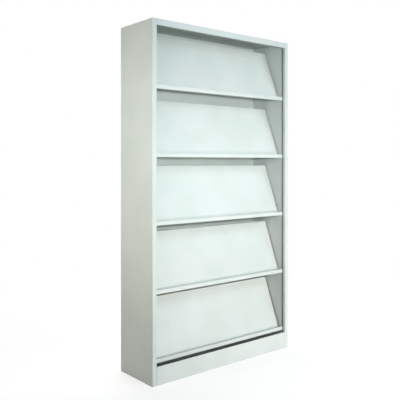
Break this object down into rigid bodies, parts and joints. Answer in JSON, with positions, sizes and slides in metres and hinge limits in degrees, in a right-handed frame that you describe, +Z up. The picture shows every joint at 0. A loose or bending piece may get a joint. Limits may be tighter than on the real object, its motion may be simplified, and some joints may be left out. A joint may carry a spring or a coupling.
{
  "type": "magazine rack",
  "caption": "Free-standing steel magazine rack: folded sides, fascia and plinth around lift-off sloping display trays with front lips.",
  "frame": {"origin": "centre of the footprint, on the floor", "axes": "+Z up, +X to the right as seen from the front, -Y towards the reader"},
  "size_m": [1, 0.3022, 1.8522],
  "materials": {
    "powder_coat": "satin powder coat, very pale cool grey",
    "galvanised": "plain galvanised sheet, dull",
    "zinc_fasteners": "bright zinc plate"
  },
  "bodies": {
    "carcass": {"side_left": "powder_coat", "side_right": "powder_coat", "liner_left": "powder_coat", "liner_right": "powder_coat", "top_panel": "powder_coat", "back_panel": "powder_coat", "plinth": "powder_coat", "base_pan": "galvanised", "top_screws": "zinc_fasteners", "top_nuts": "zinc_fasteners", "plinth_screws": "zinc_fasteners", "plinth_nuts": "zinc_fasteners", "back_screws": "zinc_fasteners", "back_nuts": "zinc_fasteners"},
    "tray_body_1": {"tray_1": "powder_coat", "hooks_1": "powder_coat"},
    "tray_body_2": {"tray_2": "powder_coat", "hooks_2": "powder_coat"},
    "tray_body_3": {"tray_3": "powder_coat", "hooks_3": "powder_coat"},
    "tray_body_4": {"tray_4": "powder_coat", "hooks_4": "powder_coat"},
    "tray_body_5": {"tray_5": "powder_coat", "hooks_5": "powder_coat"}
  },
  "joints": [
    {"name": "tray_lift_1", "type": "slide", "parent": "carcass", "child": "tray_body_1", "axis": [0, 0, 1], "range_m": [0, 0.008]},
    {"name": "tray_lift_2", "type": "slide", "parent": "carcass", "child": "tray_body_2", "axis": [0, 0, 1], "range_m": [0, 0.008]},
    {"name": "tray_lift_3", "type": "slide", "parent": "carcass", "child": "tray_body_3", "axis": [0, 0, 1], "range_m": [0, 0.008]},
    {"name": "tray_lift_4", "type": "slide", "parent": "carcass", "child": "tray_body_4", "axis": [0, 0, 1], "range_m": [0, 0.008]},
    {"name": "tray_lift_5", "type": "slide", "parent": "carcass", "child": "tray_body_5", "axis": [0, 0, 1], "range_m": [0, 0.008]}
  ]
}
